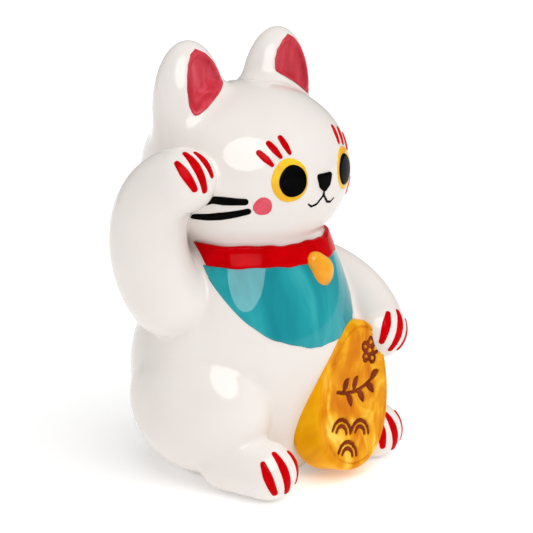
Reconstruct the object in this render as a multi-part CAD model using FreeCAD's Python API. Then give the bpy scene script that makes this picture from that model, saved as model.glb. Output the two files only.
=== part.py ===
import FreeCAD, Part
import math
import os

from FreeCAD import Matrix, Placement, Rotation, Vector

# Beckoning cat money bank: a hollow glazed ceramic figure sitting on its base.
# Millimetres. +Z is up, the cat faces -Y, its own left side is +X.
# The origin is the centre of the base, on the plane the figure stands on.

# ---- casting ----
WALL = 4.5
BASE_FLAT_R = 30.0
TORSO_PROFILE = [(35.5, 4.0), (39.6, 11.0), (42.0, 21.0), (42.6, 34.0), (41.8, 49.0),
                 (40.0, 63.0), (37.0, 77.0), (32.5, 90.0)]
TORSO_TOP = (28.0, 98.0)
NECK_OPENING_R = 21.0

HEAD_C = Vector(0.0, -0.5, 116.0)
HEAD_RADIUS = 40.0
HEAD_HALF_HEIGHT = 33.0
HEAD_PROFILE_STEPS = 16

# Directions, in degrees from +X, of the lines where the turned surfaces close.
TORSO_SEAM = 63.0
CAVITY_SEAM = 78.0
HEAD_SEAM = 148.0

# ---- base hole, recess and stopper ----
FLOOR_T = 6.5
CAVITY_FLOOR_R = 28.0
RECESS_R = 21.5
RECESS_DEPTH = 3.2
HOLE_R = 16.6
STOPPER_LIP_R = 19.5
STOPPER_LIP_T = 1.8
STOPPER_PLUG_R = 16.2
STOPPER_PLUG_H = 7.0
STOPPER_WALL = 2.2
STOPPER_GAP = 0.3

# ---- coin slot, at the back of the head ----
SLOT_LENGTH = 37.0
SLOT_HEIGHT = 5.4
SLOT_Z = 131.0

# ---- ears: right and left are mirror images ----
EAR_C = (23.0, 5.5, 139.0)
EAR_R = (15.6, 11.5, 26.0)
EAR_LEAN = 4.0
EAR_FRONT_Y = -5.0
EAR_SCOOP_C = (24.5, -6.0, 145.0)
EAR_SCOOP_R = (11.0, 8.0, 17.0)

# ---- limbs: (start, end, start radius, end radius) ----
RAISED_ARM = [((-36, 1, 68), (-45, 3, 90), 15.0, 14.5),
              ((-45, 3, 90), (-46.5, 0, 107), 14.5, 13.0),
              ((-46.5, 0, 107), (-42.5, -16.5, 120), 13.0, 11.5)]
HOLDING_ARM = [((29, 4, 72), (42, -16, 60), 14.0, 14.0),
               ((42, -16, 60), (37, -37, 51), 14.0, 11.0)]
RIGHT_FOOT = [((-32, -10, 11.5), (-28, -37, 11), 11.5, 11.0)]
LEFT_FOOT = [((32, -10, 11.5), (34, -38, 11), 11.5, 11.0)]
HAUNCH_C = (27.0, -8.0, 29.0)
HAUNCH_R = (21.0, 27.0, 28.0)
TAIL = [((0, 38, 14), (9, 47, 22), 9.5, 8.0)]

# ---- oval gold coin held against the belly ----
KOBAN_C = Vector(14.0, -46.5, 31.8)
KOBAN_HALF_WIDTH = 20.0
KOBAN_HALF_LENGTH = 29.5
KOBAN_ROUNDNESS = 2.15
KOBAN_THICKNESS = 22.0
KOBAN_TILT = 17.0
KOBAN_LEAN = 7.0
KOBAN_EDGE_R = 1.4
MARK_DEPTH = 1.2
MARK_FILL = 0.5
MARK_WIDTH = 2.6

# ---- enamel: height above the white glaze ----
ENAMEL = 0.5
FACE_BACK = -11.0
COLLAR_T = 1.0
COLLAR_Z = (84.8, 92.6)
BIB_C = (2.0, 78.0)
BIB_R = (33.0, 24.0)
BIB_ROUNDNESS = 2.2
BELL_C = Vector(5.5, -32.8, 80.5)
BELL_R = (6.2, 4.6, 6.4)
EYE_X = 15.4
EYE_Z = 118.1
IRIS_R = 7.8
PUPIL_R = 5.5
CHEEK_C = (24.8, 108.8)
CHEEK_R = 3.5

# Strokes on the face, as (x, z) points of the right side seen from the front, with a width.
WHISKERS = [([(-30.2, 111.6), (-37.2, 111.9)], 2.4),
            ([(-29.8, 107.2), (-37.0, 105.2)], 2.4)]
BROWS = [([(-24.6, 130.2), (-22.3, 126.0)], 1.7),
         ([(-20.2, 133.0), (-18.3, 128.2)], 1.7),
         ([(-15.2, 134.8), (-14.4, 129.2)], 1.7)]
MOUTH = [(-6.8, 107.8), (-4.6, 106.6), (-2.0, 108.2), (0.0, 111.6), (0.0, 114.0), (0.0, 111.6),
         (2.0, 108.2), (4.6, 106.6), (6.8, 107.8)]
MOUTH_WIDTH = 1.1
NOSE = [(-3.6, 118.2), (3.6, 118.2), (2.2, 115.0), (0.0, 113.2), (-2.2, 115.0)]

# Toe marks on the ball that ends each limb, as pairs of directions from the ball's centre.
RAISED_PAW_MARKS = [((-0.70, 0.10, 0.62), (-0.78, -0.52, -0.20)),
                    ((-0.42, 0.06, 0.88), (-0.58, -0.80, -0.16)),
                    ((-0.12, -0.30, 0.93), (-0.30, -0.92, 0.24))]
HOLDING_PAW_MARKS = [((-0.28, -0.62, 0.74), (-0.72, -0.66, -0.20)),
                     ((0.22, -0.68, 0.72), (-0.34, -0.86, -0.36)),
                     ((0.66, -0.62, 0.34), (0.14, -0.92, -0.38))]
FOOT_MARKS = [((-0.62, -0.42, 0.62), (-0.62, -0.66, -0.40)),
              ((-0.18, -0.55, 0.80), (-0.12, -0.86, -0.48)),
              ((0.34, -0.56, 0.74), (0.38, -0.82, -0.40))]
TOE_MARK_WIDTH = 3.0


def ellipsoid(centre, radii, lean=0.0):
    """Solid ellipsoid, leaned about its own Y axis by an angle in degrees."""
    unit = 10.0
    scale = Matrix()
    scale.scale(radii[0] / unit, radii[1] / unit, radii[2] / unit)
    solid = Part.makeSphere(unit).transformGeometry(scale)
    solid.Placement = Placement(Vector(*centre), Rotation(Vector(0, 1, 0), lean))
    return solid


def round_cone(start, end, r_start, r_end):
    """A ball at each end and the cone that is tangent to both."""
    start = Vector(*start)
    axis = Vector(*end) - start
    length = axis.Length
    sine = (r_start - r_end) / length
    cosine = math.sqrt(1.0 - sine * sine)
    bottom = Vector(0, 0, -r_start)
    low = Vector(r_start * cosine, 0, r_start * sine)
    high = Vector(r_end * cosine, 0, length + r_end * sine)
    top = Vector(0, 0, length + r_end)
    half = math.sqrt(0.5)
    low_mid = Vector(r_start * half, 0, -r_start * half)
    high_mid = Vector(r_end * half, 0, length + r_end * half)
    wire = Part.Wire([Part.Arc(bottom, low_mid, low).toShape(),
                      Part.LineSegment(low, high).toShape(),
                      Part.Arc(high, high_mid, top).toShape(),
                      Part.LineSegment(top, bottom).toShape()])
    solid = Part.Face(wire).revolve(Vector(0, 0, 0), Vector(0, 0, 1), 360)
    solid.Placement = Placement(start, Rotation(Vector(0, 0, 1), axis))
    return solid


def join(shapes):
    """One solid from overlapping solids."""
    result = shapes[0]
    for shape in shapes[1:]:
        result = result.fuse(shape)
    return result


def limb(pieces, grow=0.0):
    """A chain of round cones, made thicker all over by grow."""
    return join([round_cone(a, b, ra + grow, rb + grow) for a, b, ra, rb in pieces])


def mirrored(shape):
    """The same piece on the cat's other side."""
    return shape.mirror(Vector(0, 0, 0), Vector(1, 0, 0))


def turned(edges, seam):
    """Solid of revolution about the vertical axis, with its seam turned clear of other pieces."""
    solid = Part.Face(Part.Wire(edges)).revolve(Vector(0, 0, 0), Vector(0, 0, 1), 360)
    solid.rotate(Vector(0, 0, 0), Vector(0, 0, 1), seam)
    return solid


def turned_profile(points, seam):
    """Solid of revolution through (radius, z) points, flat at both ends."""
    curve = Part.BSplineCurve()
    curve.interpolate([Vector(r, 0, z) for r, z in points])
    foot = Vector(0, 0, points[0][1])
    top = Vector(0, 0, points[-1][1])
    return turned([Part.LineSegment(foot, curve.StartPoint).toShape(),
                   curve.toShape(),
                   Part.LineSegment(curve.EndPoint, top).toShape(),
                   Part.LineSegment(top, foot).toShape()], seam)


def torso_outer(grow=0.0):
    """The torso's outside, made larger all over by grow."""
    points = [(BASE_FLAT_R, 0.0)] + TORSO_PROFILE + [TORSO_TOP]
    return turned_profile([(r + grow, z) for r, z in points], TORSO_SEAM)


def head_outer(grow=0.0):
    """The head's outside, a ball pressed flatter from above, made larger all over by grow."""
    radius = HEAD_RADIUS + grow
    half = HEAD_HALF_HEIGHT + grow
    points = []
    for i in range(HEAD_PROFILE_STEPS + 1):
        angle = math.pi * (i / HEAD_PROFILE_STEPS - 0.5)
        points.append(Vector(radius * math.cos(angle), 0, half * math.sin(angle)))
    points[0].x = 0.0
    points[-1].x = 0.0
    curve = Part.BSplineCurve()
    curve.interpolate(Points=points, InitialTangent=Vector(1, 0, 0), FinalTangent=Vector(-1, 0, 0))
    axis = Part.LineSegment(points[-1], points[0])
    solid = turned([curve.toShape(), axis.toShape()], HEAD_SEAM)
    solid.translate(HEAD_C)
    return solid


def superellipse(centre, half_width, half_length, roundness, count=40):
    """Closed smooth curve in a plane of constant Y."""
    points = []
    for i in range(count):
        angle = 2.0 * math.pi * i / count
        c = math.cos(angle)
        s = math.sin(angle)
        x = half_width * math.copysign(abs(c) ** (2.0 / roundness), c)
        z = half_length * math.copysign(abs(s) ** (2.0 / roundness), s)
        points.append(centre + Vector(x, 0, z))
    curve = Part.BSplineCurve()
    curve.interpolate(Points=points, PeriodicFlag=True)
    return Part.Wire(curve.toShape())


def stroke_prism(points, width, depth, back=0.0):
    """Brush line with round ends through (x, z) points, from Y = back forward by depth."""
    pieces = []
    for x, z in points:
        pieces.append(Part.makeCylinder(width / 2, depth, Vector(x, back, z), Vector(0, -1, 0)))
    for (x0, z0), (x1, z1) in zip(points, points[1:]):
        length = math.hypot(x1 - x0, z1 - z0)
        bar = Part.makeBox(length, depth, width, Vector(0, back - depth, -width / 2))
        angle = math.degrees(math.atan2(z1 - z0, x1 - x0))
        bar.Placement = Placement(Vector(x0, 0, z0), Rotation(Vector(0, 1, 0), -angle))
        pieces.append(bar)
    return join(pieces)


def enamel(tool, outside, inside):
    """The part of tool that lies between a surface and its raised copy."""
    return tool.common(outside).cut(inside)


def toe_mark(centre, radius, first, last, width):
    """Bar that follows a ball's surface along the great circle between two directions."""
    first = Vector(*first).normalize()
    last = Vector(*last).normalize()
    normal = first.cross(last).normalize()
    sweep = math.degrees(math.acos(first.dot(last)))
    bar = Part.makeTorus(radius, width / 2, Vector(0, 0, 0), Vector(0, 0, 1), -180, 180, sweep)
    bar = bar.fuse(Part.makeSphere(width / 2, Vector(radius, 0, 0)))
    end = Vector(radius * math.cos(math.radians(sweep)), radius * math.sin(math.radians(sweep)), 0)
    bar = bar.fuse(Part.makeSphere(width / 2, end))
    side = normal.cross(first)
    bar.Placement = Placement(Vector(*centre), Rotation(first, side, normal, "XYZ"))
    return bar


def toe_marks(pieces, marks):
    """Enamel bars over the ball that ends a limb."""
    end = pieces[-1][1]
    radius = pieces[-1][3]
    shell = Part.makeSphere(radius + ENAMEL, Vector(*end))
    bars = [toe_mark(end, radius, a, b, TOE_MARK_WIDTH) for a, b in marks]
    return Part.Compound([enamel(bar, shell, limb(pieces)) for bar in bars])


def write(name, shape):
    """Save one node."""
    shape.exportStep("parts/" + name + ".step")


os.makedirs("parts", exist_ok=True)

# ---- hollow torso and head, with one cavity through both ----
torso = torso_outer()
head = head_outer()
cavity_profile = [(r - WALL, z) for r, z in TORSO_PROFILE if z > FLOOR_T + 2.0]
torso_cavity = turned_profile([(CAVITY_FLOOR_R, FLOOR_T)] + cavity_profile
                              + [(TORSO_TOP[0] - WALL, TORSO_TOP[1] - 2.0)], CAVITY_SEAM)
head_cavity = head_outer(-WALL)
neck_bore = Part.makeCylinder(NECK_OPENING_R, 40.0, Vector(0, 0, 76.0))
cavity = join([torso_cavity, head_cavity, neck_bore])
coin_slot = Part.makeBox(SLOT_LENGTH, 30.0, SLOT_HEIGHT,
                         Vector(-SLOT_LENGTH / 2, 18.0, SLOT_Z - SLOT_HEIGHT / 2))
base_hole = Part.makeCylinder(HOLE_R, FLOOR_T + 2.0, Vector(0, 0, -1.0))
recess = Part.makeCylinder(RECESS_R, RECESS_DEPTH + 1.0, Vector(0, 0, -1.0))

torso_shell = torso.cut(cavity).cut(base_hole).cut(recess)
head_shell = head.cut(head_cavity).cut(coin_slot).cut(torso)
write("torso_shell", torso_shell)
write("head_shell", head_shell)

# ---- stopper: a soft cup with a lip that sits inside the recess ----
lip_top = RECESS_DEPTH - STOPPER_GAP
lip = Part.makeCylinder(STOPPER_LIP_R, STOPPER_LIP_T, Vector(0, 0, lip_top - STOPPER_LIP_T))
plug = Part.makeCylinder(STOPPER_PLUG_R, STOPPER_PLUG_H, Vector(0, 0, lip_top - STOPPER_LIP_T))
hollow = Part.makeCylinder(STOPPER_PLUG_R - STOPPER_WALL, STOPPER_PLUG_H, Vector(0, 0, lip_top))
write("stopper", lip.fuse(plug).cut(hollow).removeSplitter())

# ---- oval coin: slanted front face, its back buried in the belly ----
outline = superellipse(Vector(0, 0, 0), KOBAN_HALF_WIDTH, KOBAN_HALF_LENGTH, KOBAN_ROUNDNESS)
slab = Part.Face(outline).extrude(Vector(0, KOBAN_THICKNESS, 0))
front_edges = [e for e in slab.Edges if e.BoundBox.YMax < 0.01]
slab = slab.makeFillet(KOBAN_EDGE_R, front_edges)
koban_place = Placement(KOBAN_C, Rotation(Vector(1, 0, 0), -KOBAN_LEAN)
                        * Rotation(Vector(0, 1, 0), KOBAN_TILT))


def koban_strokes(depth_from, depth_to):
    """Blossom, leaf spray and wave arcs, as prisms measured in from the coin's face."""
    blossom = []
    for i in range(5):
        angle = math.radians(90.0 + 72.0 * i)
        near = (2.0 * math.cos(angle), 15.5 + 2.0 * math.sin(angle))
        far = (4.6 * math.cos(angle), 15.5 + 4.6 * math.sin(angle))
        blossom.append([near, far])
    leaves = [[(0.0, -3.0), (0.0, 6.0)], [(-2.0, -2.0), (-7.0, 3.0)], [(2.0, -2.0), (7.0, 3.0)]]
    waves = []
    for radius in (3.0, 7.0):
        arc = []
        for i in range(9):
            angle = math.radians(180.0 * i / 8)
            arc.append((radius * math.cos(angle), -18.0 + radius * math.sin(angle)))
        waves.append(arc)
    pieces = []
    for line in blossom + leaves + waves:
        pieces.append(stroke_prism(line, MARK_WIDTH, depth_to - depth_from, depth_to))
    return pieces


raised_arm_solid = limb(RAISED_ARM)
holding_arm_solid = limb(HOLDING_ARM)
right_foot_solid = limb(RIGHT_FOOT)
left_foot_solid = limb(LEFT_FOOT)
floor_block = Part.makeBox(200.0, 200.0, 50.0, Vector(-100, -100, -50))

koban_solid = slab.copy()
grooves = koban_strokes(-1.0, MARK_DEPTH)
fills = koban_strokes(MARK_DEPTH - MARK_FILL, MARK_DEPTH)
for groove in grooves:
    koban_solid = koban_solid.cut(groove)
koban_solid.Placement = koban_place
marks = Part.Compound(fills)
marks.Placement = koban_place
slab.Placement = koban_place
koban = koban_solid.cut(torso).cut(holding_arm_solid).cut(floor_block)
write("koban", koban)
write("koban_marks", marks.cut(holding_arm_solid))

# ---- haunches, feet and arms, each cut where it meets the piece behind it ----
right_haunch_solid = mirrored(ellipsoid(HAUNCH_C, HAUNCH_R))
left_haunch_solid = ellipsoid(HAUNCH_C, HAUNCH_R)
write("right_haunch", right_haunch_solid.cut(torso).cut(slab).cut(floor_block))
write("left_haunch", left_haunch_solid.cut(torso).cut(slab).cut(floor_block))
right_foot = right_foot_solid.cut(torso).cut(right_haunch_solid).cut(slab).cut(floor_block)
left_foot = left_foot_solid.cut(torso).cut(left_haunch_solid).cut(slab).cut(floor_block)
write("right_foot", right_foot)
write("left_foot", left_foot)
write("raised_arm", raised_arm_solid.cut(torso).cut(head).cut(right_haunch_solid))
write("holding_arm", holding_arm_solid.cut(torso).cut(head).cut(left_haunch_solid))
write("tail", limb(TAIL).cut(torso))

# ---- ears with a scooped front, lined in colour ----
ear = ellipsoid(EAR_C, EAR_R, EAR_LEAN)
ear_front = Part.makeBox(80.0, 40.0, 80.0, Vector(-10.0, EAR_FRONT_Y - 40.0, 110.0))
ear = ear.cut(ear_front).cut(head)
scoop = ellipsoid(EAR_SCOOP_C, EAR_SCOOP_R, EAR_LEAN)
scoop_inner = ellipsoid(EAR_SCOOP_C, [r - ENAMEL for r in EAR_SCOOP_R], EAR_LEAN)
left_ear = ear.cut(scoop)
left_lining = ear.common(scoop).cut(scoop_inner)
write("left_ear", left_ear)
write("right_ear", mirrored(left_ear))
write("ear_lining_left", left_lining)
write("ear_lining_right", mirrored(left_lining))

# ---- collar, bib and bell on the chest ----
arms = raised_arm_solid.fuse(holding_arm_solid)
collar_zone = Part.makeBox(120.0, 120.0, COLLAR_Z[1] - COLLAR_Z[0], Vector(-60.0, -60.0, COLLAR_Z[0]))
collar = enamel(collar_zone, torso_outer(COLLAR_T), torso).cut(arms).cut(head)
write("collar", collar)

bib_outline = superellipse(Vector(BIB_C[0], -60.0, BIB_C[1]), BIB_R[0], BIB_R[1], BIB_ROUNDNESS)
bib_prism = Part.Face(bib_outline).extrude(Vector(0, 55.0, 0))
bib_below = Part.makeBox(120.0, 60.0, COLLAR_Z[0], Vector(-60.0, -60.0, 0.0))
bell = ellipsoid(BELL_C, BELL_R)
bib = enamel(bib_prism.common(bib_below), torso_outer(ENAMEL), torso).cut(arms).cut(slab)
write("bib", bib.cut(bell))
write("bell", bell.cut(torso).cut(collar))

# ---- face ----
raised_head = head_outer(ENAMEL)


def face_disc(x, z, radius):
    """Round bar from inside the head out through the face."""
    return Part.makeCylinder(radius, 60.0, Vector(x, FACE_BACK, z), Vector(0, -1, 0))


def face_strokes(strokes):
    """Enamel lines on the right side of the face."""
    return [enamel(stroke_prism(line, width, 60.0, FACE_BACK), raised_head, head) for line, width in strokes]


iris_ring = face_disc(-EYE_X, EYE_Z, IRIS_R).cut(face_disc(-EYE_X, EYE_Z, PUPIL_R))
iris = enamel(iris_ring, raised_head, head)
pupil = enamel(face_disc(-EYE_X, EYE_Z, PUPIL_R), head_outer(ENAMEL + 0.2), head)
cheek = enamel(face_disc(-CHEEK_C[0], CHEEK_C[1], CHEEK_R), raised_head, head)
whiskers = Part.Compound(face_strokes(WHISKERS)).cut(raised_arm_solid)
brows = Part.Compound(face_strokes(BROWS))
for name, shape in (("iris", iris), ("pupil", pupil), ("cheek", cheek), ("whiskers", whiskers),
                    ("brow_marks", brows)):
    write(name + "_right", shape)
    write(name + "_left", mirrored(shape))

nose_outline = Part.makePolygon([Vector(x, FACE_BACK, z) for x, z in NOSE + NOSE[:1]])
nose_prism = Part.Face(nose_outline).extrude(Vector(0, -60.0, 0))
nose = enamel(nose_prism, head_outer(2 * ENAMEL), head)
write("nose", nose)
write("mouth", enamel(stroke_prism(MOUTH, MOUTH_WIDTH, 60.0, FACE_BACK), raised_head, head).cut(nose))

# ---- toe marks ----
write("claws_raised_paw", toe_marks(RAISED_ARM, RAISED_PAW_MARKS).cut(head))
write("claws_holding_paw", toe_marks(HOLDING_ARM, HOLDING_PAW_MARKS).cut(slab))
write("claws_right_foot", toe_marks(RIGHT_FOOT, FOOT_MARKS).cut(slab))
write("claws_left_foot", toe_marks(LEFT_FOOT, FOOT_MARKS).cut(slab))
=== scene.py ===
import math

import bpy
import numpy as np
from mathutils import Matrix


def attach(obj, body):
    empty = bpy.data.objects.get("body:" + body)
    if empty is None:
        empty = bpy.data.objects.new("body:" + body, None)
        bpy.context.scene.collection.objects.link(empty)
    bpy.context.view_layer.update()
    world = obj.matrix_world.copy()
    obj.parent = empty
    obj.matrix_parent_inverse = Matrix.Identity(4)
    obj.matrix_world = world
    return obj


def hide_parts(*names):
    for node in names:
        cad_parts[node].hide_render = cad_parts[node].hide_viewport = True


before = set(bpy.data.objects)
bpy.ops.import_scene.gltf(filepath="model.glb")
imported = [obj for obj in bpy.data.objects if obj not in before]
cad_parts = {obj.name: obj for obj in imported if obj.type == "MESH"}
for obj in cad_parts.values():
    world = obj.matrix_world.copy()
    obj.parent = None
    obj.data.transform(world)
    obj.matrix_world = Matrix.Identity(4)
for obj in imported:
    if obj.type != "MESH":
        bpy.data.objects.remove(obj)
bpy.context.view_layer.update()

import openvdb
from mathutils import Vector

MM = 0.001
TINY = 1e-6
FAR = 9.0  # distance given to points that are too far away to be measured

# ==== shape: signed distances in millimetres, negative inside ====
# The cat faces -Y, its own left side is +X, and Z = 0 is the surface that it stands on.


def smooth_min(a, b, k):
    """Union of two distances, with a fillet about k wide."""
    h = np.clip(0.5 + 0.5 * (b - a) / k, 0, 1)
    return b + (a - b) * h - k * h * (1 - h)


def smooth_max(a, b, k):
    """Intersection of two distances, with its edge rounded over about k."""
    return -smooth_min(-a, -b, k)


def length(v):
    """Length of each vector in an array."""
    return np.sqrt((v * v).sum(-1))


def vec(*values):
    """Vector in single precision, as the arrays of points are."""
    return np.array(values, np.float32)


def turn(p, axis, degrees):
    """Points turned about an axis through the origin."""
    t = math.radians(degrees)
    c, s = math.cos(t), math.sin(t)
    i, j = {"x": (1, 2), "y": (2, 0), "z": (0, 1)}[axis]
    q = p.copy()
    q[..., i] = c * p[..., i] - s * p[..., j]
    q[..., j] = s * p[..., i] + c * p[..., j]
    return q


def flip(p):
    """The same points seen from the cat's other side."""
    return p * vec(-1, 1, 1)


def egg(p, centre, radii, lean=0.0):
    """Ellipsoid, leaned to the side by some degrees."""
    q = p - vec(*centre)
    if lean:
        q = turn(q, "y", -lean)
    r = vec(*radii)
    k0 = length(q / r)
    return k0 * (k0 - 1) / np.maximum(length(q / (r * r)), TINY)


def barrel(p, centre, radii, power):
    """Round from above, and squarer from the side where the power is above 2."""
    q = (p - vec(*centre)) / vec(*radii)
    around = np.sqrt(q[..., 0] ** 2 + q[..., 1] ** 2) + TINY
    up = np.sqrt(q[..., 2] ** 2 + 0.01)
    s = around ** power + up ** power
    slope = np.sqrt((around ** (power - 1) / radii[0]) ** 2 + (up ** (power - 1) / radii[2]) ** 2)
    return (s ** (1 / power) - 1) / np.maximum(slope * s ** (1 / power - 1), TINY)


def limb(p, a, b, ra, rb):
    """Round cone: a ball of ra at a, a ball of rb at b and the cone between them."""
    a, ba = vec(*a), vec(*b) - vec(*a)
    l2 = float(ba @ ba)
    rr = ra - rb
    a2 = l2 - rr * rr
    pa = p - a
    y = pa @ ba
    z = y - l2
    w = pa * l2 - y[..., None] * ba
    x2 = (w * w).sum(-1)
    y2, z2 = y * y * l2, z * z * l2
    k = np.sign(rr) * rr * rr * x2
    side = (np.sqrt(x2 * a2 / l2) + y * rr) / l2 - ra
    low = np.sqrt(x2 + y2) / l2 - ra
    high = np.sqrt(x2 + z2) / l2 - rb
    return np.where(np.sign(z) * a2 * z2 > k, high, np.where(np.sign(y) * a2 * y2 < k, low, side))


def spline(points, steps, closed=False):
    """Rows of a smooth curve through the given rows."""
    rows = np.array(points, float)
    count = len(rows)
    span = count if closed else count - 1
    out = []
    for i in range(span):
        pick = [i - 1, i, i + 1, i + 2]
        pick = [k % count for k in pick] if closed else [min(max(k, 0), count - 1) for k in pick]
        a, b, c, d = rows[pick]
        for t in np.arange(steps) / steps:
            out.append(0.5 * (2 * b + (c - a) * t + (2 * a - 5 * b + 4 * c - d) * t ** 2
                              + (3 * b - a - 3 * c + d) * t ** 3))
    if not closed:
        out.append(rows[-1])
    return np.array(out)


def curve(rows):
    """Polynomials for x, y, z and radius that pass through the rows."""
    rows = np.array(rows, float)
    steps = np.sqrt((np.diff(rows[:, :3], axis=0) ** 2).sum(1))
    along = np.concatenate([[0], np.cumsum(steps)]) / steps.sum()
    return np.polyfit(along, rows, len(rows) - 1).astype(np.float32)


SEEDS = 7  # places along a curve where the search for the nearest one starts
NEWTON_STEPS = 3
LEAST_BEND = 50.0  # keeps a Newton step short where the curve's own bend would let it run away


def along_curve(coefficients, t):
    """Points at the shares t of a curve's length."""
    return np.stack([np.polyval(coefficients[:, i], t) for i in range(3)], -1)


def tube(p, coefficients):
    """Distance to a smooth limb: the nearest place on its curve, found by Newton steps."""
    speed = np.stack([np.polyder(c) for c in coefficients.T], -1)
    change = np.stack([np.polyder(c) for c in speed.T], -1)
    nearest = np.full(p.shape[:-1], 1e9, np.float32)
    t = np.zeros(p.shape[:-1], np.float32)
    for seed in np.linspace(0, 1, SEEDS):
        d = ((p - along_curve(coefficients, seed).astype(np.float32)) ** 2).sum(-1)
        t = np.where(d < nearest, np.float32(seed), t)
        nearest = np.minimum(d, nearest)
    for _ in range(NEWTON_STEPS):
        gap = along_curve(coefficients, t) - p
        way = along_curve(speed, t)
        bend = (way * way).sum(-1) + (gap * along_curve(change, t)).sum(-1)
        t = np.clip(t - (gap * way).sum(-1) / np.maximum(bend, LEAST_BEND), 0, 1)
    return length(along_curve(coefficients, t) - p) - np.polyval(coefficients[:, 3], t)


def polygon(corners, p):
    """Distance to a closed outline in the front plane, negative inside."""
    x, z = p[..., 0], p[..., 2]
    best = np.full(x.shape, 1e6, np.float32)
    inside = np.zeros(x.shape, bool)
    for (x0, z0), (x1, z1) in zip(corners, np.roll(corners, -1, 0)):
        ex, ez = x1 - x0, z1 - z0
        t = np.clip(((x - x0) * ex + (z - z0) * ez) / (ex * ex + ez * ez), 0, 1)
        best = np.minimum(best, (x - x0 - t * ex) ** 2 + (z - z0 - t * ez) ** 2)
        if z0 != z1:
            inside ^= ((z0 <= z) != (z1 <= z)) & (x < x0 + (z - z0) * ex / ez)
    best = np.sqrt(best)
    return np.where(inside, -best, best)


# ---- coin held against the belly ----
KOBAN_AT = (14.2, -45.2, 31.6)  # middle of its face
KOBAN_SIZE = (20.0, 28.6)  # half width and half height of its face
KOBAN_DEPTH = 17.0
KOBAN_TILT = 19.0  # degrees, its top towards the cat's left
KOBAN_LEAN = 8.0  # degrees, its top towards the belly
KOBAN_POWER = 2.1  # a little squarer than an ellipse
KOBAN_FLARE = 0.003  # growth for each millimetre inward
KOBAN_TAPER = 0.0055  # narrowing for each millimetre upward
KOBAN_FOOT = 0.6  # flat foot, just above the floor
FACE_EDGE, BACK_EDGE, FOOT_EDGE = 3.0, 5.0, 1.0


def koban_local(p):
    """Across, in and up from the middle of the coin's face."""
    q = turn(p - vec(*KOBAN_AT), "x", KOBAN_LEAN)
    return turn(q, "y", -KOBAN_TILT)


def koban_outline(q, inset=0.0):
    """Distance to the coin's outline in its own plane."""
    grow = 1 + KOBAN_FLARE * np.clip(q[..., 1], 0, KOBAN_DEPTH)
    across = q[..., 0] / (1 - KOBAN_TAPER * np.clip(q[..., 2], -30, 30))
    u = np.abs(np.stack([across / (KOBAN_SIZE[0] - inset), q[..., 2] / (KOBAN_SIZE[1] - inset)], -1))
    u = u / grow[..., None] + TINY
    s = (u ** KOBAN_POWER).sum(-1)
    slope = np.sqrt((u[..., 0] ** (KOBAN_POWER - 1) / KOBAN_SIZE[0]) ** 2
                    + (u[..., 1] ** (KOBAN_POWER - 1) / KOBAN_SIZE[1]) ** 2)
    return (s ** (1 / KOBAN_POWER) - 1) / np.maximum(slope * s ** (1 / KOBAN_POWER - 1), TINY)


def koban_block(p):
    """The coin before its grooves are cut."""
    q = koban_local(p)
    block = smooth_max(koban_outline(q), -q[..., 1], FACE_EDGE)
    block = smooth_max(block, q[..., 1] - KOBAN_DEPTH, BACK_EDGE)
    return smooth_max(block, KOBAN_FOOT - p[..., 2], FOOT_EDGE)


# ---- the casting ----
# Arms: rows of x, y, z and radius that end in the paw.
RAISED_ARM = curve([(-38.5, 2, 73, 15.4), (-45.8, 4.2, 88, 14.5), (-47.4, 2.0, 106, 13.8),
                    (-46.0, -12.6, 119.6, 12.0)])
HOLDING_ARM = curve([(28, 4, 72, 14), (43, -15, 61, 14.4), (37, -37, 51, 11.2)])
# Feet and tail: where a round cone starts and ends, and the radius at each end.
RIGHT_FOOT = ((-30, -20, 12), (-28, -37, 11), 12.0, 11.0)
LEFT_FOOT = ((30, -20, 12), (34, -38, 11), 12.0, 11.0)
TAIL = ((0, 38, 14), (9, 47, 22), 9.5, 8.0)
# Round parts: centre and radii, then a barrel's power or an egg's lean.
BELLY = ((0, 5.5, 33), (42.5, 37.0, 34), 2.9)
CHEST = ((0.8, -2.2, 50), (44.4, 40, 74), 1.5)
HEAD = ((0, -1.5, 116), (41, 38.5, 33))
LEFT_HAUNCH = ((28, -3.5, 31), (22, 31, 27.4))
LEFT_EAR = ((23, 5.5, 139), (15.8, 11.5, 26.8), 4)
LAP = ((17, -30, 46), (14, 9, 15))
# Fillets where the parts meet.
BLEND = {"chest": 9, "head": 3, "haunch": 1.6, "ear": 6, "foot": 2.5, "lap": 5, "raised_arm": 1.8,
         "holding_arm": 3, "tail": 4, "base": 1.2, "inner_neck": 8, "inner_floor": 2, "hole": 0.8,
         "recess": 0.6, "slot": 1.2}

EAR_FRONT, EAR_FRONT_EDGE = -5.5, 3.0
EAR_HOLLOW_FLOOR, EAR_HOLLOW_BEND, EAR_HOLLOW_LIP = 0.8, 3.5, 1.6
EAR_HOLLOW_INSET = 0.6
LEFT_EAR_OUT = vec(1.5, 0, 0.6)  # the left ear stands this much further out and up than the right one
# Outline of the left ear's coloured hollow: x and z of corners seen from the front.
EAR_HOLLOW = spline([(25.0, 163.2), (30.4, 158.0), (32.6, 149.0), (32.0, 141.4), (30.2, 140.4),
                     (22.5, 145.2), (15.6, 149.4), (14.6, 151.6), (17.2, 158.0)], 2, closed=True)

WALL = 4.5
FLOOR_TOP = 6.5
HOLE_RADIUS, HOLE_TOP = 16.6, 8.0
RECESS_RADIUS, RECESS_TOP = 21.5, 3.2
SLOT_HALF_LENGTH, SLOT_HALF_HEIGHT = 18.5, 2.7
SLOT_Z, SLOT_FROM_Y = 131.0, 22.0  # the slot is cut backwards from there


def torso(p):
    return smooth_min(barrel(p, *BELLY), barrel(p, *CHEST), BLEND["chest"])


def head(p):
    return egg(p, *HEAD)


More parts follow.
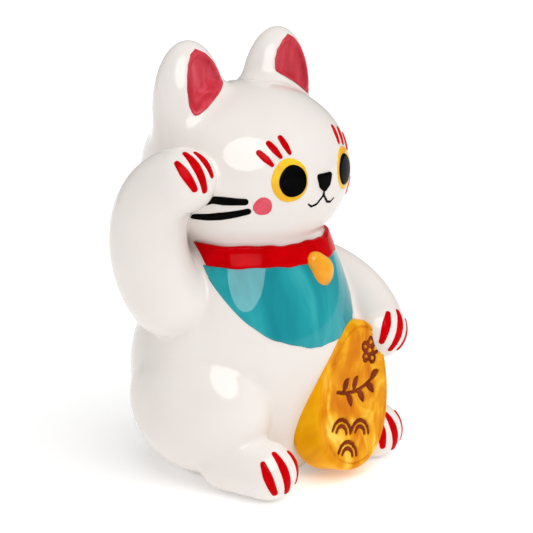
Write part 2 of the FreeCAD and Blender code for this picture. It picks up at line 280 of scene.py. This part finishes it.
def ear(p):
    """The left ear at the right ear's mirrored place, flat in front, with its hollow."""
    whole = smooth_max(egg(p, *LEFT_EAR), EAR_FRONT - p[..., 1], EAR_FRONT_EDGE)
    near = (whole < 6) & (p[..., 1] < 4)
    hollow = np.full(whole.shape, FAR, np.float32)
    if near.any():
        hollow[near] = polygon(EAR_HOLLOW, p[near]) + EAR_HOLLOW_INSET
    hollow = smooth_max(hollow, p[..., 1] - EAR_HOLLOW_FLOOR, EAR_HOLLOW_BEND)
    return smooth_max(whole, -hollow, EAR_HOLLOW_LIP)


def figure(p):
    """The casting's outside, without the coin."""
    d = smooth_min(torso(p), head(p), BLEND["head"])
    for side in (p, flip(p)):
        d = smooth_min(d, egg(side, *LEFT_HAUNCH), BLEND["haunch"])
    for side in (p - LEFT_EAR_OUT, flip(p)):
        d = smooth_min(d, ear(side), BLEND["ear"])
    d = smooth_min(d, limb(p, *RIGHT_FOOT), BLEND["foot"])
    d = smooth_min(d, limb(p, *LEFT_FOOT), BLEND["foot"])
    d = smooth_min(d, egg(p, *LAP), BLEND["lap"])
    d = smooth_min(d, tube(p, RAISED_ARM), BLEND["raised_arm"])
    d = smooth_min(d, tube(p, HOLDING_ARM), BLEND["holding_arm"])
    d = smooth_min(d, limb(p, *TAIL), BLEND["tail"])
    return smooth_max(d, -p[..., 2], BLEND["base"])


def cavity(p):
    """The hollow: torso and head in one, the stopper's hole and recess, and the coin slot."""
    d = smooth_min(torso(p) + WALL, head(p) + WALL, BLEND["inner_neck"])
    d = smooth_max(d, FLOOR_TOP - p[..., 2], BLEND["inner_floor"])
    around = np.sqrt(p[..., 0] ** 2 + p[..., 1] ** 2)
    d = smooth_min(d, np.maximum(around - HOLE_RADIUS, p[..., 2] - HOLE_TOP), BLEND["hole"])
    d = smooth_min(d, np.maximum(around - RECESS_RADIUS, p[..., 2] - RECESS_TOP), BLEND["recess"])
    slot = np.maximum(np.abs(p[..., 0]) - SLOT_HALF_LENGTH, np.abs(p[..., 2] - SLOT_Z) - SLOT_HALF_HEIGHT)
    slot = np.maximum(slot, SLOT_FROM_Y - p[..., 1])
    return smooth_min(d, slot, BLEND["slot"])


def casting(p):
    return smooth_max(figure(p), -cavity(p), BLEND["base"])


# ==== meshes ====
FINE = 1.0
BLOCK = 4  # grid cells along one side of a block
BATCH = 6000  # blocks measured at a time, to spare memory
CORNERS = np.array([(1, -1, -1), (-1, -1, 1), (-1, 1, -1), (1, 1, 1)], float)


def slope(field, points, reach=0.05):
    """Gradient of a field from four samples round each point."""
    total = np.zeros_like(points)
    for corner in CORNERS:
        total += corner * field((points + corner * reach).astype(np.float32))[:, None]
    return total / (4 * reach)


def settle(field, points, limit=0.5):
    """Points moved along the field's gradient on to its zero surface."""
    g = slope(field, points)
    d = field(points.astype(np.float32))[:, None]
    move = d * g / np.maximum((g * g).sum(-1, keepdims=True), 0.05)
    return points - np.clip(move, -limit, limit)


def polygonise(field, low, high, step):
    """Closed mesh of a field's zero surface: only blocks near the surface are measured finely."""
    step *= FINE
    low = np.asarray(low, float)
    cells = np.ceil((np.asarray(high, float) - low) / (step * BLOCK)).astype(int)
    axes = [low[i] + (np.arange(cells[i]) + 0.5) * step * BLOCK for i in range(3)]
    middle = np.stack(np.meshgrid(*axes, indexing="ij"), -1).astype(np.float32)
    coarse = field(middle)
    grid = np.repeat(np.repeat(np.repeat(coarse, BLOCK, 0), BLOCK, 1), BLOCK, 2).astype(np.float32)
    near = np.argwhere(np.abs(coarse) < step * BLOCK * 1.6)
    inner = np.stack(np.meshgrid(*[np.arange(BLOCK)] * 3, indexing="ij"), -1).reshape(-1, 3)
    for start in range(0, len(near), BATCH):
        index = (near[start:start + BATCH, None, :] * BLOCK + inner[None]).reshape(-1, 3)
        points = (low + (index + 0.5) * step).astype(np.float32)
        grid[index[:, 0], index[:, 1], index[:, 2]] = field(points)
    volume = openvdb.FloatGrid()
    volume.copyFromArray(np.ascontiguousarray(grid))
    points, _, quads = volume.convertToPolygons(isovalue=0.0, adaptivity=0.0)
    points = low + (points.astype(float) + 0.5) * step
    for _ in range(2):
        points = settle(field, points)
    return points, quads[:, ::-1]


def build(name, field, low, high, step, material, nodes):
    """Piece of the figure inside the box from low to high, which stands for CAD nodes."""
    points, faces = polygonise(field, low, high, step)
    mesh = bpy.data.meshes.new(name)
    mesh.from_pydata((points * MM).tolist(), [], faces.tolist())
    mesh.validate()
    mesh.polygons.foreach_set("use_smooth", [True] * len(mesh.polygons))
    mesh.materials.append(material)
    piece = bpy.data.objects.new(name, mesh)
    bpy.context.scene.collection.objects.link(piece)
    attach(piece, "figure")
    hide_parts(*nodes)


def build_same(name, field, low, high, step, material):
    """Piece that stands for the one CAD node of its own name."""
    build(name, field, low, high, step, material, [name])


# ---- enamel painted on the skin ----
UNDER_SKIN = 0.5  # how far enamel reaches under the casting's skin


def on_skin(points, steps=6):
    """Points moved on to the casting's outside."""
    points = np.array(points, float)
    for _ in range(steps):
        points = settle(figure, points, 4.0)
    return points


def brush(path, widths):
    """Distance from a brush stroke with round ends: a path over the skin and its half widths."""
    path = on_skin(path)

    def region(p):
        best = None
        for i in range(len(path) - 1):
            d = limb(p, path[i], path[i + 1], widths[i], widths[i + 1])
            best = d if best is None else np.minimum(best, d)
        return best
    return region, path


def stroke(a, b, half, taper, points=5):
    """Brush stroke from a to b over the skin; taper scales its half width at start, middle and end."""
    t = np.linspace(0, 1, points)
    path = np.array(a, float) + (np.array(b, float) - np.array(a, float)) * t[:, None]
    return brush(path, half * np.interp(t, [0, 0.45, 1], taper))


def spot(centre, radius, wobble, narrow=1.0):
    """Round area of the skin about a point; narrow squeezes it from side to side."""
    centre = on_skin([centre])[0]

    def region(p):
        q = (p - centre.astype(np.float32)) / vec(narrow, narrow, 1)
        angle = np.arctan2(q[..., 2], q[..., 0])
        return length(q) - radius + wobble * (np.sin(3 * angle + 0.6) + 0.6 * np.sin(5 * angle + 2.0))
    return region, np.array([centre - radius, centre + radius])


def lifted(d, height, area, soft):
    """Layer over a skin at distance d: height thick where area is negative, with soft edges."""
    return smooth_max(smooth_max(d - height, area, soft), -d - UNDER_SKIN, 0.2)


def enamel(region, height, soft=0.5):
    """Raised enamel of one height over a region of the skin."""
    def field(p):
        return lifted(figure(p), height, region(p), soft)
    return field


def joined(regions):
    """Union of several regions."""
    def region(p):
        best = regions[0](p)
        for other in regions[1:]:
            best = np.minimum(best, other(p))
        return best
    return region


def marks(name, strokes, height, step, material):
    """One piece from several strokes or spots; its box is found from their paths."""
    regions = [region for region, _ in strokes]
    paths = np.concatenate([path for _, path in strokes])
    build_same(name, enamel(joined(regions), height), paths.min(0) - 4.0, paths.max(0) + 4.0, step,
               material)


# ==== materials ====
# Sockets of a Mix node for each kind of value: first, second and result.
MIX_SOCKETS = {"RGBA": (6, 7, 2), "FLOAT": (2, 3, 0)}


def shader(name):
    """A new material and its surface node."""
    material = bpy.data.materials.new(name)
    material.use_nodes = True
    return material, material.node_tree.nodes["Principled BSDF"]


def noise(tree, scale, detail=3.0, stretch=(1, 1, 1), turned=(0, 0, 0), distortion=0.0):
    """Noise in the object's own coordinates; scale is in features per metre."""
    place = tree.nodes.new("ShaderNodeTexCoord")
    mapping = tree.nodes.new("ShaderNodeMapping")
    mapping.inputs["Scale"].default_value = stretch
    mapping.inputs["Rotation"].default_value = turned
    texture = tree.nodes.new("ShaderNodeTexNoise")
    texture.inputs["Scale"].default_value = scale
    texture.inputs["Detail"].default_value = detail
    texture.inputs["Distortion"].default_value = distortion
    tree.links.new(place.outputs["Object"], mapping.inputs["Vector"])
    tree.links.new(mapping.outputs["Vector"], texture.inputs["Vector"])
    return texture.outputs["Fac"]


def ramp(tree, source, stops):
    """Colour ramp over a value: (position, colour) pairs."""
    node = tree.nodes.new("ShaderNodeValToRGB")
    elements = node.color_ramp.elements
    while len(elements) < len(stops):
        elements.new(0.5)
    for element, (position, colour) in zip(elements, stops):
        element.position = position
        element.color = (*colour, 1)
    tree.links.new(source, node.inputs["Fac"])
    return node.outputs["Color"]


def share(tree, value, start, end):
    """0 where a value is at start or before it, and 1 at end or past it."""
    node = tree.nodes.new("ShaderNodeMapRange")
    node.inputs["From Min"].default_value = start
    node.inputs["From Max"].default_value = end
    tree.links.new(value, node.inputs["Value"])
    return node.outputs["Result"]


def mix_in(tree, socket, factor, first):
    """Feed a shader's socket from first where factor is 0, and from what it had where it is 1."""
    had = socket.links[0].from_socket
    mix = tree.nodes.new("ShaderNodeMix")
    mix.data_type = "FLOAT" if isinstance(first, float) else "RGBA"
    input_a, input_b, result = MIX_SOCKETS[mix.data_type]
    tree.links.new(factor, mix.inputs["Factor"])
    if isinstance(first, float):
        mix.inputs[input_a].default_value = first
    else:
        tree.links.new(first, mix.inputs[input_a])
    tree.links.new(had, mix.inputs[input_b])
    tree.links.new(mix.outputs[result], socket)


def glaze(name, stops, scale, stretch=(1, 1, 1), turned=(0, 0, 0), rough=(0.015, 0.04), distortion=0.0,
          level=0.2, ior=1.55):
    """Glossy fired glaze: brushed colour, faint waviness and uneven gloss."""
    material, bsdf = shader(name)
    tree = material.node_tree
    brushed = noise(tree, scale, stretch=stretch, turned=turned, distortion=distortion)
    tree.links.new(ramp(tree, brushed, stops), bsdf.inputs["Base Color"])
    gloss = tree.nodes.new("ShaderNodeMapRange")
    gloss.inputs["To Min"].default_value = rough[0]
    gloss.inputs["To Max"].default_value = rough[1]
    tree.links.new(noise(tree, 90.0, detail=2.0), gloss.inputs["Value"])
    tree.links.new(gloss.outputs["Result"], bsdf.inputs["Roughness"])
    wave = tree.nodes.new("ShaderNodeBump")
    wave.inputs["Strength"].default_value = 0.03
    wave.inputs["Distance"].default_value = MM
    tree.links.new(noise(tree, 70.0, detail=1.0), wave.inputs["Height"])
    tree.links.new(wave.outputs["Normal"], bsdf.inputs["Normal"])
    bsdf.inputs["IOR"].default_value = ior
    bsdf.inputs["Specular IOR Level"].default_value = level
    return material


def bare_base(material, bare_below=0.4 * MM, glazed_above=0.7 * MM):
    """The ring that the figure stands on is left bare: matt biscuit where the height is almost nil."""
    tree = material.node_tree
    bsdf = tree.nodes["Principled BSDF"]
    place = tree.nodes.new("ShaderNodeTexCoord")
    split = tree.nodes.new("ShaderNodeSeparateXYZ")
    tree.links.new(place.outputs["Object"], split.inputs["Vector"])
    glazed = share(tree, split.outputs["Z"], bare_below, glazed_above)
    biscuit = ramp(tree, noise(tree, 900.0, detail=4.0),
                   [(0.3, (0.60, 0.55, 0.47)), (0.7, (0.72, 0.67, 0.58))])
    mix_in(tree, bsdf.inputs["Base Color"], glazed, biscuit)
    mix_in(tree, bsdf.inputs["Roughness"], glazed, 0.8)


def darker_face(material, depth=2.5 * MM):
    """The coin's face takes a deeper amber than its side, mixed over the first depth inward."""
    tree = material.node_tree
    bsdf = tree.nodes["Principled BSDF"]
    lean = math.radians(KOBAN_LEAN)
    inward = (0, math.cos(lean), -math.sin(lean))
    face_at = MM * float(np.dot(KOBAN_AT, inward))
    place = tree.nodes.new("ShaderNodeTexCoord")
    along = tree.nodes.new("ShaderNodeVectorMath")
    along.operation = "DOT_PRODUCT"
    along.inputs[1].default_value = inward
    tree.links.new(place.outputs["Object"], along.inputs[0])
    inside = share(tree, along.outputs["Value"], face_at, face_at + depth)
    streaks = noise(tree, 62.0, 4.0, (1.7, 1.0, 0.7), (0, 0.3, 0), 1.2)
    amber = ramp(tree, streaks, [(0.25, (0.56, 0.13, 0.003)), (0.45, (0.70, 0.23, 0.005)),
                                 (0.58, (0.84, 0.39, 0.015)), (0.72, (0.93, 0.64, 0.10))])
    mix_in(tree, bsdf.inputs["Base Color"], inside, amber)


WHITE = glaze("white_glaze", [(0.3, (0.80, 0.745, 0.70)), (0.7, (0.85, 0.80, 0.76))], scale=22.0)
bare_base(WHITE)
RED = glaze("red_enamel", [(0.35, (0.50, 0.0, 0.001)), (0.7, (0.64, 0.0, 0.003))], scale=140.0, ior=1.15)
TEAL = glaze(
    "teal_enamel", [(0.25, (0.006, 0.22, 0.26)), (0.55, (0.014, 0.31, 0.35)), (0.8, (0.05, 0.43, 0.45))],
    scale=55.0, stretch=(1.6, 1.0, 0.35), turned=(0, 0.7, 0), distortion=0.8)
PINK = glaze(
    "pink_enamel", [(0.3, (0.46, 0.022, 0.034)), (0.55, (0.62, 0.048, 0.072)), (0.8, (0.78, 0.14, 0.19))],
    scale=110.0, stretch=(1.5, 1, 0.5), distortion=0.6, level=0.1)
CHEEK = glaze("cheek_enamel", [(0.3, (0.66, 0.05, 0.08)), (0.7, (0.76, 0.09, 0.125))], scale=160.0)
GOLD = glaze(
    "gold_enamel", [(0.25, (0.76, 0.29, 0.003)), (0.5, (0.92, 0.42, 0.003)), (0.8, (0.98, 0.60, 0.02))],
    scale=60.0, stretch=(1.6, 1.0, 0.6), distortion=0.9, ior=1.2)
darker_face(GOLD)
BELL = glaze("bell_enamel", [(0.3, (0.84, 0.30, 0.008)), (0.7, (0.96, 0.48, 0.03))], scale=120.0)
YELLOW = glaze(
    "iris_enamel", [(0.3, (0.84, 0.42, 0.006)), (0.7, (0.95, 0.60, 0.03))], scale=150.0, distortion=0.5)
BLACK = glaze(
    "black_enamel", [(0.3, (0.001, 0.001, 0.001)), (0.7, (0.003, 0.003, 0.003))], scale=150.0, ior=1.12)
BROWN = glaze(
    "brown_enamel", [(0.3, (0.15, 0.018, 0.005)), (0.7, (0.27, 0.045, 0.010))], scale=150.0, ior=1.15)
SOFT = glaze(
    "soft_stopper", [(0.3, (0.50, 0.48, 0.43)), (0.7, (0.60, 0.58, 0.53))], scale=60.0, rough=(0.45, 0.6))

# ==== pieces ====
build("casting", casting, (-68, -58, -4), (66, 62, 172), 0.9, WHITE,
      ["torso_shell", "head_shell", "right_ear", "left_ear", "raised_arm", "holding_arm",
       "right_haunch", "left_haunch", "right_foot", "left_foot", "tail"])

# ---- coin: its decoration is drawn across its face, as x and z from the face's middle ----
BLOSSOM_AT, PETALS = (5.2, 17.6), 5
PETAL_START, PETAL_END, PETAL_HALF_WIDTH = 1.5, 5.0, 1.55
BRANCH = [(-11.5, -0.2), (-5.0, 0.2), (2.0, 2.6), (7.5, 6.6)]
LEAF_LENGTH, LEAF_BEND = 5.6, 0.6
# Leaves: x and z of the stem's end, and its direction in radians.
LEAVES = [(-7.5, 0.2, 1.25), (-1.8, 1.4, 1.35), (-6.0, -0.2, -0.85), (0.2, 1.6, -0.7),
          (7.5, 6.6, 0.75), (5.0, 4.6, -0.45)]
# Wave crests: x and z of the middle, and the radii of the arches.
WAVES = [(-6.4, -15.4, (5.4, 3.0)), (4.6, -14.4, (5.2, 2.8)), (-1.4, -23.4, (5.4, 3.0))]
PETAL_LINE, BRANCH_LINE, WAVE_LINE = 0.6, 0.55, 0.65  # half widths of the lines
DECOR_DEPTH = 0.9
LINE_MARGIN = 0.25  # how much wider a cut line is than the dark glaze in it
PAINT_TOP = 0.25  # depth of the dark glaze's top under the coin's face
RIM_INSET, RIM_HALF_WIDTH = 2.6, 0.3
SUNK = 1.5  # how far the coin and the bell reach into the casting


def petal(angle):
    """Closed loop of one blossom petal."""
    t = np.linspace(0, 2 * math.pi, 9)
    along = PETAL_START + (PETAL_END - PETAL_START) * (0.5 - 0.5 * np.cos(t))
    across = PETAL_HALF_WIDTH * np.sin(t)
    c, s = math.cos(angle), math.sin(angle)
    return np.stack([BLOSSOM_AT[0] + along * c - across * s, BLOSSOM_AT[1] + along * s + across * c], -1)


def leaf(x, z, angle):
    """Spine of one leaf, with half widths that swell in its middle."""
    t = np.linspace(0, 1, 6)
    bend = LEAF_BEND * np.sin(math.pi * t)
    c, s = math.cos(angle), math.sin(angle)
    spine = np.stack([x + LEAF_LENGTH * t * c - bend * s, z + LEAF_LENGTH * t * s + bend * c], -1)
    return spine, 0.3 + 1.15 * np.sin(math.pi * t)


def arch(x, z, radius):
    """One arch of a wave crest."""
    t = np.linspace(0.15, math.pi - 0.15, 7)
    return np.stack([x + radius * np.cos(t), z + radius * np.sin(t)], -1)


def even(path, half):
    """A path with the same half width all along."""
    return path, np.full(len(path), half)


DECOR = [even(petal(0.3 + 2 * math.pi * k / PETALS), PETAL_LINE) for k in range(PETALS)]
DECOR += [even(spline(BRANCH, 3), BRANCH_LINE)]
DECOR += [leaf(*place) for place in LEAVES]
DECOR += [even(arch(x, z, radius), WAVE_LINE) for x, z, radii in WAVES for radius in radii]


def decor(p):
    """Distance to the decoration's lines across the coin's face, and the depth under the face."""
    q = koban_local(p)
    best = np.full(q.shape[:-1], FAR, np.float32)
    near = np.abs(q[..., 1]) < 2.5
    flat = q[near][:, [0, 2]]
    line = np.full(len(flat), FAR, np.float32)
    for path, half in DECOR:
        for i in range(len(path) - 1):
            ba = (path[i + 1] - path[i]).astype(np.float32)
            pa = flat - path[i].astype(np.float32)
            t = np.clip(pa @ ba / float(ba @ ba), 0, 1)
            width = half[i] + (half[i + 1] - half[i]) * t
            line = np.minimum(line, length(pa - t[:, None] * ba) - width)
    best[near] = line
    return best, q[..., 1]


def koban(p):
    """The coin with a groove round its rim and its sunken decoration."""
    line, inward = decor(p)
    rim = np.abs(koban_outline(koban_local(p), RIM_INSET)) - RIM_HALF_WIDTH
    groove = smooth_max(np.minimum(rim, line - LINE_MARGIN), inward - DECOR_DEPTH, 0.5)
    return np.maximum(smooth_max(koban_block(p), -groove, 0.5), -(figure(p) + SUNK))


def koban_marks(p):
    """Dark glaze pooled in the decoration's lines, just under the coin's face."""
    line, inward = decor(p)
    layer = np.maximum(inward - DECOR_DEPTH - 0.3, PAINT_TOP - inward)
    return smooth_max(smooth_max(line, layer, 0.3), koban_block(p) + 0.1, 0.3)


build_same("koban", koban, (-14, -58, -2), (46, -14, 68), 0.5, GOLD)
build_same("koban_marks", koban_marks, (-10, -56, 0), (36, -36, 62), 0.4, BROWN)

# ---- face: places are for the cat's right side, and its left side mirrors them ----
SIDES = {"right": (1, 1, 1), "left": (-1, 1, 1)}
IRIS_AT, IRIS_RADIUS = (-15.5, -36.9, 118.1), 8.1
PUPIL_AT, PUPIL_RADIUS = (-14.5, -36.9, 117.8), 5.9
CHEEK_AT, CHEEK_RADIUS = (-24.4, -31.4, 109.2), 3.6
WHISKERS = [((-38.6, -14.5, 112.1), (-29.6, -27.6, 111.2)),
            ((-38.0, -10.0, 104.2), (-28.2, -27.6, 107.5))]
BROWS = [((-23.9, -29.2, 128.5), (-21.2, -33.0, 124.2)),
         ((-19.6, -30.0, 131.3), (-17.6, -33.8, 126.7)),
         ((-14.8, -31.4, 132.9), (-13.9, -35.0, 127.8))]
WHISKER_HALF, WHISKER_TAPER = 1.7, (0.7, 1.0, 0.75)
BROW_HALF, BROW_TAPER = 1.45, (0.8, 1.0, 0.6)

for name, mirror in SIDES.items():
    iris = spot(np.multiply(IRIS_AT, mirror), IRIS_RADIUS, 0.12, narrow=0.93)
    pupil = spot(np.multiply(PUPIL_AT, mirror), PUPIL_RADIUS, 0.08, narrow=0.97)
    cheek = spot(np.multiply(CHEEK_AT, mirror), CHEEK_RADIUS, 0.1)
    whiskers = [stroke(*np.multiply(ends, mirror), WHISKER_HALF, WHISKER_TAPER) for ends in WHISKERS]
    brows = [stroke(*np.multiply(ends, mirror), BROW_HALF, BROW_TAPER) for ends in BROWS]
    marks("iris_" + name, [iris], 0.35, 0.45, YELLOW)
    marks("pupil_" + name, [pupil], 0.75, 0.45, BLACK)
    marks("cheek_" + name, [cheek], 0.3, 0.4, CHEEK)
    marks("whiskers_" + name, whiskers, 0.45, 0.4, BLACK)
    marks("brow_marks_" + name, brows, 0.35, 0.35, RED)

NOSE = [(-3.0, 118.0), (3.0, 118.0), (2.0, 114.6), (0.0, 113.0), (-2.0, 114.6)]
NOSE_ROUNDING = 1.0
MOUTH_HALF = [(-7.2, -38, 108.4), (-5.4, -38, 107.2), (-3.0, -38, 107.8), (-0.4, -39, 110.4),
              (0, -39, 112.0)]
MOUTH_WIDTHS = [0.35, 0.5, 0.55, 0.5, 0.5]
LIP = [(0, -39, 110.6), (0, -39, 113.8)]


def front_only(p, d):
    """A distance seen from the front, kept to the front half of the cat."""
    return np.where(p[..., 1] < 0, d, 50.0)


def nose_region(p):
    return front_only(p, polygon(NOSE, p) - NOSE_ROUNDING)


build_same("nose", enamel(nose_region, 0.9, soft=0.9), (-7, -44, 109), (7, -34, 123), 0.35,
           BLACK)
other_half = np.multiply(MOUTH_HALF, SIDES["left"])
mouth = [brush(MOUTH_HALF, MOUTH_WIDTHS), brush(other_half, MOUTH_WIDTHS), brush(LIP, [0.5, 0.5])]
marks("mouth", mouth, 0.3, 0.28, BLACK)


# ---- ears ----
def lining_region(to_left_ear):
    """The hollow of one ear; to_left_ear brings points to the left ear's outline."""
    def region(p):
        return np.maximum(polygon(EAR_HOLLOW, to_left_ear(p)) - 0.1, p[..., 1] - 6.0)
    return region


left_lining = enamel(lining_region(lambda p: p - LEFT_EAR_OUT), 0.35)
right_lining = enamel(lining_region(flip), 0.35)
build_same("ear_lining_left", left_lining, (8, -10, 134), (37, 8, 168), 0.45, PINK)
build_same("ear_lining_right", right_lining, (-37, -10, 134), (-8, 8, 168), 0.45, PINK)

# ---- collar, bib and bell ----
COLLAR_Z, COLLAR_HALF_HEIGHT, COLLAR_FROM_ARMS = 88.6, 3.8, 3.2
COLLAR_SLOPE = (0.024, -0.026)  # drop towards the cat's left and rise towards its back
COLLAR_THICKNESS, COLLAR_LIP = 0.9, 0.09  # at its foot, and the gain for each millimetre upward
COLLAR_FOOT, COLLAR_LIP_HEIGHT = 85.0, 8
BIB_MIDDLE, BIB_HALF, BIB_POWER = (0.5, 80.0), (34.0, 26.2), 2.15
BIB_TOP, BIB_FROM_ARMS = 85.4, 2.0
BELL_BODY = ((5.6, -33.4, 79.6), (6.0, 4.6, 6.4), 8)
BELL_LOOP = ((2.3, -33.6, 84.6), (3.9, 3.2, 3.4))


def arms(p):
    return np.minimum(tube(p, RAISED_ARM), tube(p, HOLDING_ARM))


def collar_region(p):
    """A tilted band round the neck with uneven painted edges, which stops short of the arms."""
    wobble = 0.25 * np.sin(p[..., 0] * 0.31 + 1.0) + 0.15 * np.sin(p[..., 0] * 0.77)
    tilt = COLLAR_SLOPE[0] * p[..., 0] + COLLAR_SLOPE[1] * p[..., 1]
    band = np.abs(p[..., 2] - COLLAR_Z - wobble + tilt) - COLLAR_HALF_HEIGHT
    return np.maximum(band, COLLAR_FROM_ARMS - arms(p))


def collar(p):
    """Band that stands further off the skin towards its top edge."""
    height = COLLAR_THICKNESS + COLLAR_LIP * np.clip(p[..., 2] - COLLAR_FOOT, 0, COLLAR_LIP_HEIGHT)
    return lifted(figure(p), height, collar_region(p), 0.9)


def bib_region(p):
    """A rounded bib under the collar with uneven painted edges, which stops short of the arms."""
    x, z = p[..., 0], p[..., 2]
    u = np.abs(np.stack([(x - BIB_MIDDLE[0]) / BIB_HALF[0], (z - BIB_MIDDLE[1]) / BIB_HALF[1]], -1)) + TINY
    s = (u ** BIB_POWER).sum(-1) ** (1 / BIB_POWER)
    d = (s - 1) * 26.0 + 0.25 * np.sin(x * 0.35 + 0.5) + 0.1 * np.sin(x * 0.9)
    d = front_only(p, np.maximum(d, z - BIB_TOP))
    return np.maximum(d, BIB_FROM_ARMS - arms(p))


def bell(p):
    d = smooth_min(egg(p, *BELL_BODY), egg(p, *BELL_LOOP), 2.4)
    return np.maximum(d, -(figure(p) + SUNK))


build_same("collar", collar, (-46, -44, 80), (46, 44, 98), 0.55, RED)
build_same("bib", enamel(bib_region, 0.4), (-42, -46, 50), (42, -4, 88), 0.5, TEAL)
build_same("bell", bell, (-4, -42, 70), (15, -24, 93), 0.4, BELL)

# ---- toe marks: both ends of each stroke ----
CLAWS = {
    "raised_paw": [((-53.5, -17.1, 127.4), (-51.1, -23.0, 118.8)),
                   ((-49.2, -16.9, 130.1), (-47.2, -24.0, 117.9)),
                   ((-45.3, -18.4, 129.9), (-43.1, -23.6, 122.5))],
    "right_foot": [((-36.0, -41.6, 17.0), (-33.4, -45.2, 5.5)),
                   ((-31.1, -42.8, 19.8), (-28.2, -47.0, 4.8)),
                   ((-24.2, -43.9, 18.7), (-21.6, -45.8, 6.9))],
    "holding_paw": [((34.3, -43.8, 59.2), (29.2, -45.0, 49.3)),
                    ((39.7, -44.2, 58.9), (33.2, -46.4, 45.4)),
                    ((44.0, -44.0, 54.1), (38.4, -46.5, 44.6))],
    "left_foot": [((27.0, -46.9, 18.4), (28.0, -47.6, 6.9)),
                  ((32.1, -46.5, 20.8), (34.5, -48.6, 4.6)),
                  ((39.5, -44.5, 18.2), (40.6, -45.8, 7.4))],
}
CLAW_HALF, CLAW_TAPER = 1.9, (0.55, 1.0, 0.65)

for name, lines in CLAWS.items():
    strokes = [stroke(*ends, CLAW_HALF, CLAW_TAPER, points=6) for ends in lines]
    marks("claws_" + name, strokes, 0.4, 0.42, RED)

# ---- stopper: the CAD solid in its own soft material ----
stopper_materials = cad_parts["stopper"].data.materials
stopper_materials.clear()
stopper_materials.append(SOFT)

# ==== floor, light and camera, in metres ====
scene = bpy.context.scene
CAMERA_AZIMUTH = math.radians(48)  # from the cat's front towards its right
CAMERA_REACH, CAMERA_HEIGHT = 0.680, 0.252
CAMERA_LENS, CAMERA_SENSOR = 123.6, 36.0
CAMERA_AIM = Vector((0.0059, -0.0066, 0.077))
LIGHT_AIM = Vector((0, 0, 0.09))
FLOOR_HALF, FLOOR_BEND, FLOOR_TOP_EDGE = 3.0, 0.6, 3.0
SKY_ANGLE, SKY_TILT, SKY_STRENGTH = math.radians(75), math.radians(26), 2.05
WORLD_STRENGTH = 0.28


def look(direction):
    """Rotation of a lamp or camera that looks along a direction."""
    return direction.to_track_quat("-Z", "Y").to_euler()


def backdrop():
    """Pale floor that curves up behind the figure."""
    bend = [(FLOOR_HALF + FLOOR_BEND * math.sin(t), FLOOR_BEND - FLOOR_BEND * math.cos(t))
            for t in np.linspace(0, math.pi / 2, 12)]
    profile = [(-FLOOR_HALF, 0.0)] + bend + [(FLOOR_HALF + FLOOR_BEND, FLOOR_TOP_EDGE)]
    verts = [(x, y, z) for x in (-FLOOR_HALF, FLOOR_HALF) for y, z in profile]
    n = len(profile)
    mesh = bpy.data.meshes.new("floor")
    mesh.from_pydata(verts, [], [(i, i + 1, n + i + 1, n + i) for i in range(n - 1)])
    floor = bpy.data.objects.new("floor", mesh)
    floor.rotation_euler = (0, 0, CAMERA_AZIMUTH)
    scene.collection.objects.link(floor)
    material, bsdf = shader("pale_floor")
    bsdf.inputs["Base Color"].default_value = (0.92, 0.92, 0.92, 1)
    bsdf.inputs["Roughness"].default_value = 0.9
    bsdf.inputs["Emission Color"].default_value = (1, 1, 1, 1)
    bsdf.inputs["Emission Strength"].default_value = 0.25
    mesh.materials.append(material)


def softbox(name, azimuth, height, reach, size, watts, glossy, diffuse):
    """Round soft light aimed at the figure, seen in the glaze or lighting its colour only."""
    light = bpy.data.lights.new(name, "AREA")
    light.shape = "DISK"
    light.size = size
    light.energy = watts
    lamp = bpy.data.objects.new(name, light)
    across, up = math.radians(azimuth), math.radians(height)
    way = Vector((math.sin(across) * math.cos(up), -math.cos(across) * math.cos(up), math.sin(up)))
    lamp.location = LIGHT_AIM + reach * way
    lamp.rotation_euler = look(-way)
    lamp.visible_glossy = glossy
    lamp.visible_diffuse = diffuse
    scene.collection.objects.link(lamp)


backdrop()
softbox("octabox", azimuth=-39, height=40, reach=1.2, size=1.05, watts=21.0, glossy=True, diffuse=False)
softbox("front", azimuth=-8, height=20, reach=1.6, size=1.4, watts=3.4, glossy=False, diffuse=True)

world = bpy.data.worlds.new("studio")
world.use_nodes = True
background = world.node_tree.nodes["Background"]
background.inputs["Color"].default_value = (1, 1, 1, 1)
background.inputs["Strength"].default_value = WORLD_STRENGTH
scene.world = world

sun = bpy.data.lights.new("sky", "SUN")
sun.angle = SKY_ANGLE
sun.energy = SKY_STRENGTH
sky = bpy.data.objects.new("sky", sun)
sky.rotation_euler = (SKY_TILT, 0, 0)
sky.visible_glossy = False
scene.collection.objects.link(sky)

camera_data = bpy.data.cameras.new("camera")
camera_data.lens = CAMERA_LENS
camera_data.sensor_width = CAMERA_SENSOR
camera = bpy.data.objects.new("camera", camera_data)
camera.location = (-CAMERA_REACH * math.sin(CAMERA_AZIMUTH), -CAMERA_REACH * math.cos(CAMERA_AZIMUTH),
                   CAMERA_HEIGHT)
camera.rotation_euler = look(CAMERA_AIM - camera.location)
scene.collection.objects.link(camera)
scene.camera = camera
scene.view_settings.view_transform = "Standard"
